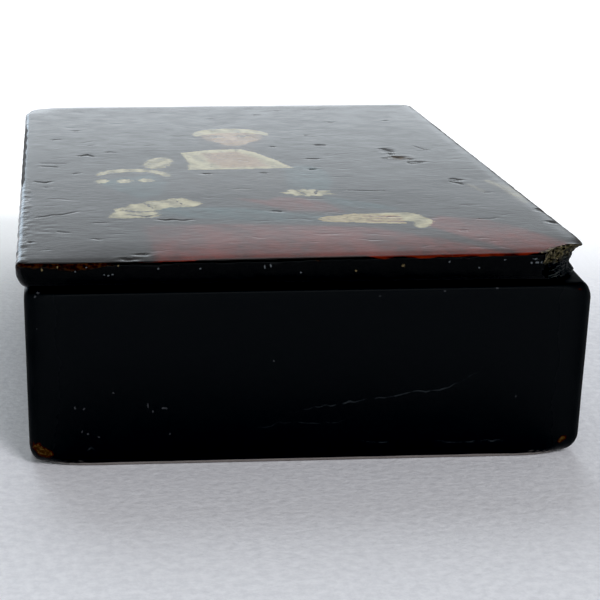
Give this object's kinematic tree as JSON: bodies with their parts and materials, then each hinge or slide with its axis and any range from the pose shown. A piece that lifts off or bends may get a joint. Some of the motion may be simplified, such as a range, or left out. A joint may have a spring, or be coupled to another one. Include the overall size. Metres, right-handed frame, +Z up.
{
  "type": "snuff box",
  "caption": "Rectangular black-lacquered papier-mache snuff box with a painted lift-off lid; hollow body with a collar, moulded lid edge, one lid corner chipped.",
  "frame": {"origin": "on the surface the box stands on, under the middle of its outline", "axes": "+X right along the short front face, +Y back along the long side, +Z up; the chipped lid corner is at +X, -Y"},
  "size_m": [0.0572, 0.0882, 0.0221],
  "materials": {
    "black_lacquer": "glossy black lacquer over papier-mache, worn brown at the corners",
    "painted_lid": "aged varnish over a painted half-length figure on a black ground"
  },
  "bodies": {
    "root": {"body": "black_lacquer", "lid": "painted_lid"}
  },
  "joints": []
}
